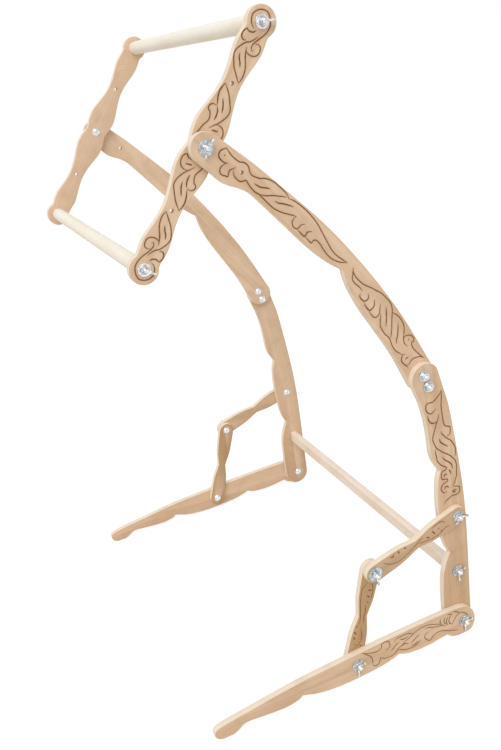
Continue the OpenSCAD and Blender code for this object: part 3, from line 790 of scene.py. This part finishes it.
def make_board(prefix, label, inner_x, origin, along, groups, holes, seats, tone_and_shade, shift, side):
    """Carved board of one side in place of its CAD board.

    holes are (centre, diameter), seats are centres of square necks in the inner face, and shift
    moves its wood grain. A pair (b, c) darkens its faces toward golden brown by c + (b - c) exp(-(u /
    150)^2):
    where it is constant, on the links, it is their own darker tone, and the darkening at the upright's
    lower end and on the foot is painted shade beneath the links.
    """
    face_x = inner_x + BOARD_THICKNESS
    along = along / np.hypot(*along)
    cad_node = prefix + label
    edges = board_outline(frame["nodes"][cad_node].data, side * face_x, origin, along)
    local, faces, values = board_shell(edges, BOARD_THICKNESS, groups)
    flat = origin + local[:, :1] * along + local[:, 1:2] * crosswise(along)
    points = np.concatenate([face_x + local[:, 2:], flat], axis=1)
    made = make_object(prefix + "carved_" + label, for_side((points, faces), side), BOARD)
    plank = local * MM + (shift, shift * 0.37, 0)
    # Darkening that fades along u: painted shade on the upright's lower end and the foot, and the links'
    # own darker tone where it is constant
    tone_and_shade_amount = tone_and_shade[1] + (tone_and_shade[0] - tone_and_shade[1]) * np.exp(-(local[:, 0] / 150) ** 2)
    for kept_name, amounts in {"plank": plank, **values, "tone_and_shade": tone_and_shade_amount}.items():
        kind, field = ("FLOAT_VECTOR", "vector") if amounts.ndim > 1 else ("FLOAT", "value")
        layer = made.data.attributes.new(kept_name, kind, "POINT")
        layer.data.foreach_set(field, np.ascontiguousarray(amounts, np.float32).reshape(-1))
    start = inner_x - 3
    cutters = [[rod(centre, start, face_x + 3, d, 64) for centre, d in holes]]
    if seats:
        cutters.append([square_bar(c, start, inner_x + NECK_DEPTH + 0.1, HOLE_D) for c in seats])
    cut(made, *[make_object("cutter", for_side(joined(*shells), side)) for shells in cutters])
    shade(made, WOOD_EDGE)
    dress(made, "board", cad_node)


def bolt_holes(*centres):
    """Holes for bolts at the centres."""
    return [(centre, HOLE_D) for centre in centres]


FRAME_LINE = turned(1, FRAME_TILT)
ARM_LINE = turned(1, ARM_SLOPE)

# Boards as name, inner face, origin, direction of u, grooves, holes, seats and darkening: the links' own
# tone, and painted shade on the upright's lower end and the foot
BOARDS = [
    ("frame_plate", PLATE_X, TILT, FRAME_LINE, [(1.0, half_turned(PLATE_SCROLL))],
     bolt_holes(TILT, UPPER, LOWER)
     + [(TILT + out * FRAME_LINE, SMALL_HOLE_D) for out in (SMALL_HOLE_OUT, -SMALL_HOLE_OUT)],
     [TILT], (0, 0)),
    ("arm", ARM_X, TILT, ARM_LINE, [(1.0, leaned(ARM_SCROLL, -0.01))],
     bolt_holes(TILT, *ELBOW_BOLTS)
     + [(TILT + ARM_HOLE[0] * ARM_LINE + ARM_HOLE[1] * crosswise(ARM_LINE), SMALL_HOLE_D)],
     ELBOW_BOLTS, (0, 0)),
    ("upright", UPRIGHT_X, FOOT, turned(1, 90), [(1.1, UPRIGHT_SCROLL)],
     bolt_holes(FOOT, LINK, *ELBOW_BOLTS, RAIL), [FOOT, LINK], (0.48, 0.08)),
    ("foot", FOOT_X, FOOT, turned(1, 180), [(0.85, FOOT_SCROLL)],
     bolt_holes(FOOT, FOOT_LINK), [], (0.1, 0.14)),
    ("upper_link", FOOT_X, LINK, KNEE - LINK, [(0.7, UPPER_LINK_SCROLL), (1.1, UPPER_LINK_DROPS)],
     bolt_holes(LINK) + [(KNEE, KNEE_HOLE_D)], [], (0.4, 0.4)),
    ("lower_link", UPRIGHT_X, KNEE, FOOT_LINK - KNEE,
     [(0.7, LOWER_LINK_SCROLL), (1.1, LOWER_LINK_DROPS)],
     bolt_holes(KNEE, FOOT_LINK), [KNEE, FOOT_LINK], (0.72, 0.72)),
]


# Fasteners

def thread_relief(x, t, r, end, pitch=1.0, depth=0.42):
    """Helical thread on the last part of a shank: r - depth |2 frac(x / pitch - t / 2 pi) - 1|."""
    phase = x / pitch - t / (2 * math.pi)
    saw = np.abs(2 * (phase - np.floor(phase)) - 1)
    fade = np.clip((x - (end - THREAD_LENGTH)) / 1.5, 0, 1) * (r > 2.5)
    return r - depth * saw * fade


def shank_profile(start, end):
    """Profile (x, r) of a shank from start to its chamfered end, with fine steps on its thread."""
    r = BOLT_D / 2
    fine = np.arange(end - THREAD_LENGTH, end - 0.9, 0.125)
    return [(start, r), (end - THREAD_LENGTH - 0.6, r)] + [(x, r) for x in fine] + [
        (end - 0.8, r), (end - 0.35, r - 0.35), (end, r - 0.85), (end, 0)]


def dome_bolt(centre, seat, end):
    """Bolt with a domed head outside x = seat, a square neck, and a threaded end at x = end."""
    radius = (HEAD_R ** 2 + HEAD_H ** 2) / (2 * HEAD_H)
    turn = np.linspace(0, math.asin(HEAD_R / radius), 16)
    dome = [(seat + radius - HEAD_H - radius * math.cos(a), radius * math.sin(a)) for a in turn]
    profile = dome + [(seat - 0.02, HEAD_R - 0.1), (seat, HEAD_R - 0.3)] + shank_profile(seat, end)
    shank = lathe(profile, centre, 48, lambda x, t, r: thread_relief(x, t, r, end))
    return joined(shank, square_bar(centre, seat - 0.2, seat + NECK_DEPTH, BOLT_D))


def end_screw(centre, start, end):
    """Headless screw from x = start to its threaded end at x = end."""
    r = BOLT_D / 2
    profile = [(start, 0), (start, r - 0.6), (start + 0.6, r)] + shank_profile(start + 1, end)
    return lathe(profile, centre, 32, lambda x, t, r: thread_relief(x, t, r, end))


def washer(centre, x, d):
    """Flat ring with rounded edges and a slight stamped dish in its outer face."""
    inner = (BOLT_D + 0.4) / 2
    outer = d / 2
    h = WASHER_T
    profile = [
        (x, inner + 0.2), (x, outer - 0.5), (x + 0.12, outer - 0.15), (x + 0.4, outer),
        (x + h - 0.5, outer), (x + h - 0.2, outer - 0.1), (x + h - 0.03, outer - 0.4),
        (x + h, outer - 0.8), (x + h, inner + 0.7), (x + h - 0.08, inner + 0.3), (x + h - 0.3, inner),
        (x + 0.2, inner)]
    return lathe(profile, centre, 72)


def hex_nut(centre, x, turn_degrees):
    """Hexagon nut: r is the smaller of flat / cos(t mod 60 - 30) and the chamfer's cone.

    The cone is 0.96 flat + depth / tan 30, with depth the distance from the nearer end.
    """
    flat = HEX_ACROSS / 2
    inner = HOLE_D / 2
    shares = [0, 0.04, 0.08, 0.14, 0.5, 0.86, 0.92, 0.96, 1]
    profile = [(x, inner + 0.5)] + [(x + HEX_H * s, 6.2) for s in shares] + [
        (x + HEX_H, inner + 0.5), (x + HEX_H - 0.5, inner), (x + 0.5, inner)]

    def hexagon(x_grid, t, r):
        a = np.mod(t - math.radians(turn_degrees) + math.pi / 6, math.pi / 3) - math.pi / 6
        side_r = flat / np.cos(a)
        down = np.minimum(x_grid - x, x + HEX_H - x_grid)
        cone = flat * 0.96 + np.maximum(down, 0) / math.tan(math.radians(30))
        return np.where(r > 6, np.minimum(side_r, cone), r)

    return lathe(profile, centre, 96, hexagon)


def wing_shell(sign):
    """One wing, 3.1 mm thick at the hub and 2 mm at its tip, spread along Y with the axis on X."""
    shape = [(0.32, 0.1), (0.5, 0.16), (0.7, 0.5), (0.88, 0.95), (1, 1.35), (0.98, 1.58), (0.86, 1.69),
             (0.72, 1.6), (0.6, 1.32), (0.46, 1.06), (0.32, 0.94)]
    outline = smooth_run([(WING_REACH * r, HUB_H * h) for r, h in shape], 0.5)
    radius = outline[:, 0]
    height = outline[:, 1]
    half = 1.55 - 0.55 * np.clip((radius - 4) / 8, 0, 1)
    n = len(outline)
    near = np.stack([height, sign * radius, -half], axis=-1)
    far = np.stack([height, sign * radius, half], axis=-1)
    k = np.arange(n)
    after = (k + 1) % n
    walls = np.stack([k, after, n + after, n + k], axis=-1).tolist()
    faces = walls + [list(range(n))[::-1], list(range(n, 2 * n))]
    points = np.concatenate([near, far])
    area = np.sum(near[:, 1] * np.roll(near[:, 0], -1) - near[:, 0] * np.roll(near[:, 1], -1))
    return (points, faces) if area < 0 else (points, [f[::-1] for f in faces])


def wing_nut_master():
    """Wing nut with its seat at x = 0: hub and wings melted into one rounded casting."""
    grain_size = 0.36
    inner = HOLE_D / 2 + 0.05
    hub = lathe([(0, inner + 0.4), (0, 5.1), (0.35, 5.5), (1.1, 5.5), (1.6, 5.1), (3.5, 4.65),
                 (5.6, 4.2), (6.2, 3.95), (HUB_H, 3.6), (HUB_H, inner + 0.3), (6.1, inner),
                 (0.4, inner)], (0, 0), 64)
    made = make_object("wing_nut_master", joined(hub, wing_shell(1), wing_shell(-1)))
    melt = made.modifiers.new("melt", "REMESH")
    melt.mode = "VOXEL"
    melt.voxel_size = grain_size * MM
    soften = made.modifiers.new("soften", "SMOOTH")
    soften.factor = 0.5
    soften.iterations = 3
    settle(made)
    points, corners = mesh_arrays(made.data)
    discard(made)
    return points, corners.reshape(-1, 4)


def placed_nut(master, centre, x, degrees, side):
    """The wing nut turned about its axis, seated at x on its pivot."""
    points, faces = master
    a = math.radians(degrees)
    y = points[:, 1] * math.cos(a) - points[:, 2] * math.sin(a)
    z = points[:, 1] * math.sin(a) + points[:, 2] * math.cos(a)
    shell = np.stack([np.clip(points[:, 0], 0, None) + x, y + centre[0], z + centre[1]], axis=-1)
    return for_side((shell, faces.tolist()), side)


ROLLER_SCREW_X = PLATE_X - END_GAP - SCREW_DEPTH
RAIL_SCREW_X = UPRIGHT_X - END_GAP - SCREW_DEPTH

# Pivots as name, centre, bolt and its start, seat and diameter of the washer, turn of the wings
PIVOTS = [
    ("upper_roller", UPPER, end_screw, ROLLER_SCREW_X, PLATE_X + BOARD_THICKNESS, SMALL_WASHER_D, 0),
    ("lower_roller", LOWER, end_screw, ROLLER_SCREW_X, PLATE_X + BOARD_THICKNESS, SMALL_WASHER_D, 150),
    ("tilt", TILT, dome_bolt, PLATE_X, ARM_X + BOARD_THICKNESS, WASHER_D, 55),
    ("link", LINK, dome_bolt, UPRIGHT_X, OUTER_X, WASHER_D, 15),
    ("knee", KNEE, dome_bolt, UPRIGHT_X, OUTER_X, KNEE_WASHER_D, 80),
    ("foot_link", FOOT_LINK, dome_bolt, UPRIGHT_X, OUTER_X, WASHER_D, 55),
    ("foot", FOOT, dome_bolt, UPRIGHT_X, OUTER_X, WASHER_D, 50),
    ("rail", RAIL, end_screw, RAIL_SCREW_X, UPRIGHT_X + BOARD_THICKNESS, WASHER_D, 60),
]


def metal(name, shell, cad_node, sharp=40):
    """Zinc-plated piece in place of its CAD node. Flat rings are dull, but not the rollers' ones."""
    dull = ("washer" in name or "spacer" in name) and "roller" not in name
    made = make_object(name, shell, DULL_ZINC if dull else BRIGHT_ZINC)
    shade(made, sharp)
    dress(made, "zinc", cad_node)


def metal_pair(name, shells, cad_node, sharp=40):
    """One piece of the shells given for the right side and their mirror images."""
    shell = joined(*shells)
    metal(name, joined(shell, mirrored(shell)), cad_node, sharp)


def make_fasteners():
    """All bolts, screws, washers and nuts."""
    seat = UPRIGHT_X + BOARD_THICKNESS
    end = seat + WASHER_T + HEX_H + BOLT_SPARE
    metal_pair("elbow_domed_bolts", [dome_bolt(p, ARM_X, end) for p in ELBOW_BOLTS], "elbow_bolts")
    metal_pair("elbow_flat_washers", [washer(p, seat, SMALL_WASHER_D) for p in ELBOW_BOLTS],
               "elbow_washers")
    metal_pair("elbow_hexagon_nuts", [hex_nut(p, seat + WASHER_T, 10) for p in ELBOW_BOLTS],
               "elbow_nuts", sharp=25)
    metal_pair("tilt_spacer_rings", [washer(TILT, PLATE_X + BOARD_THICKNESS + END_GAP, WASHER_D)],
               "tilt_spacers")
    master = wing_nut_master()
    for name, centre, make_bolt, start, seat, diameter, turn in PIVOTS:
        bolt = make_bolt(centre, start, seat + WASHER_T + HUB_H + BOLT_SPARE)
        ring = washer(centre, seat, diameter)
        # The bolts and washers of the lower link's own pivots are one node on each side
        paired = name not in ("foot_link", "knee")
        if paired:
            pivot = "foot_pivot" if name == "foot" else name
            kind = "_end_screws" if make_bolt is end_screw else "_domed_bolts"
            metal_pair(pivot + kind, [bolt], pivot + "_bolts")
            metal_pair(name + "_flat_washers", [ring], pivot + "_washers")
        for side, prefix in ((-1, "left_"), (1, "right_")):
            own = prefix + name
            if not paired:
                metal(own + "_domed_bolt", for_side(bolt, side), own + "_bolt")
                metal(own + "_flat_washer", for_side(ring, side), own + "_washer")
            nut = placed_nut(master, centre, seat + WASHER_T, turn, side)
            metal(own + "_cast_wing_nut", nut, own + "_wing_nut", sharp=60)


def make_roller(cad_node, centre):
    """Turned dowel with chamfered, softly rounded ends and a bore for a screw in each end."""
    half = PLATE_X - END_GAP
    deep = half - SCREW_DEPTH
    r = ROLLER_D / 2
    bore = HOLE_D / 2
    end = [(deep, 0), (deep, bore), (half - 0.4, bore), (half, bore + 0.4), (half, r - 1.5),
           (half - 0.1, r - 1.15), (half - 1.15, r - 0.1), (half - 1.5, r)]
    rest = [(x, r) for x in np.linspace(half - 30, -half + 30, 24)]
    profile = [(-x, rr) for x, rr in end + rest] + end[::-1]
    made = make_object("turned_" + cad_node, lathe(profile, centre, 96), BIRCH)
    shade(made, WOOD_EDGE)
    dress(made, "dowel", cad_node)


def make_rail():
    """Planed rail: a rectangle with rounded arrises, carried along X, with bored ends."""
    half = UPRIGHT_X - END_GAP
    width = RAIL_WIDTH / 2
    height = RAIL_HEIGHT / 2
    r = RAIL_ARRIS
    quarter = np.radians(np.linspace(0, 90, 7))
    ring = np.array([
        (sy * (width - r) + r * math.cos(a), sz * (height - r) + r * math.sin(a))
        for k, (sy, sz) in enumerate(((1, 1), (-1, 1), (-1, -1), (1, -1)))
        for a in quarter + math.pi / 2 * k])
    stations = np.concatenate([[-half], np.linspace(-half + 0.5, half - 0.5, 60), [half]])
    shrink = np.ones((len(stations), 1, 1))
    shrink[[0, -1]] = 0.96
    flat = RAIL + ring * shrink
    x = np.broadcast_to(stations[:, None, None], (len(stations), len(ring), 1))
    points = np.concatenate([x, flat], axis=-1).reshape(-1, 3)
    n = len(ring)
    faces = grid_faces(len(stations), n).tolist()
    faces += [list(range(n))[::-1], list(range(len(points) - n, len(points)))]
    made = make_object("planed_cross_rail", (points, faces), SOFTWOOD)
    bore = rod(RAIL, half - SCREW_DEPTH, half + 3, HOLE_D, 48)
    cut(made, make_object("cutter", joined(mirrored(bore), bore)))
    shade(made, WOOD_EDGE)
    dress(made, "dowel", "cross_rail")


for side, prefix in ((1, "right_"), (-1, "left_")):
    # Each board's grain is shifted by its own length, so that no two boards look the same
    first_shift = 0.9 if side > 0 else 6.3
    for k, board in enumerate(BOARDS):
        make_board(prefix, *board, first_shift + 0.8 * k, side)
make_fasteners()
make_roller("upper_roller", UPPER)
make_roller("lower_roller", LOWER)
make_rail()


# Floor, light and camera

def make_floor():
    """Pale warm floor that looks white to the camera, apart from the stand's soft shadow."""
    size = 4000.0
    below = -0.6
    made, tree, shader, _ = new_material("pale_floor")
    feed(tree, shader, Base_Color=(0.66, 0.62, 0.56, 1), Roughness=0.9, Specular_IOR_Level=0.0)
    glow = node(tree, "ShaderNodeEmission", Color=(0.88, 0.92, 1, 1),
                Strength=times(tree, seen_directly(tree), 0.62))
    both = node(tree, "ShaderNodeAddShader", (0, shader.outputs[0]), (1, glow.outputs[0]))
    feed(tree, tree.nodes["Material Output"], Surface=both.outputs[0])
    corners = [[size * a, size * b, below] for a, b in ((-1, -1), (1, -1), (1, 1), (-1, 1))]
    floor = make_object("floor", (np.array(corners), [[0, 1, 2, 3]]), made)


def facing(right, up, back, place):
    """Matrix for a lamp or camera at a place, with its own X, Y and Z along the three vectors."""
    return Matrix([[right[k], up[k], back[k], place[k]] for k in range(3)] + [[0, 0, 0, 1]])


def make_light():
    """White world for the camera and for gloss, an even ambient light, and one broad soft lamp."""
    world = bpy.data.worlds.new("studio")
    scene.world = world
    world.use_nodes = True
    tree = world.node_tree
    ambient = 0.66
    feed(tree, tree.nodes["Background"], Color=(1, 1, 1, 1),
         Strength=plus(tree, ambient, times(tree, seen_directly(tree), 1 - ambient)))
    lamp = bpy.data.lights.new("soft_lamp", "SUN")
    lamp.energy = 1.25
    lamp.angle = math.radians(35)
    holder = bpy.data.objects.new("soft_lamp", lamp)
    aim = np.array([0.62, -0.42, 0.66])
    aim /= np.linalg.norm(aim)
    side = np.cross([0, 0, 1], aim)
    side /= np.linalg.norm(side)
    holder.matrix_world = facing(side, np.cross(aim, side), aim, (0, 0, 0))
    scene.collection.objects.link(holder)


def make_camera():
    """Camera at the photograph's place, turned, tilted down and rolled by angles in degrees."""
    yaw = math.radians(69.957)
    pitch = math.radians(21.719)
    roll = math.radians(-8.563)
    level = math.cos(pitch)
    back = np.array([math.sin(yaw) * level, -math.cos(yaw) * level, math.sin(pitch)])
    right = np.array([math.cos(yaw), math.sin(yaw), 0])
    up = np.cross(back, right)
    across = math.cos(roll) * right + math.sin(roll) * up
    above = -math.sin(roll) * right + math.cos(roll) * up
    lens = bpy.data.cameras.new("photo_camera")
    lens.sensor_fit = "VERTICAL"
    lens.sensor_height = 36
    lens.lens = 39.23
    lens.clip_start = 0.02
    holder = bpy.data.objects.new("photo_camera", lens)
    holder.matrix_world = facing(across, above, back, (1.1525, -0.39965, 0.8775))
    scene.collection.objects.link(holder)
    scene.camera = holder


make_floor()
make_light()
make_camera()
scene.view_settings.view_transform = "Standard"
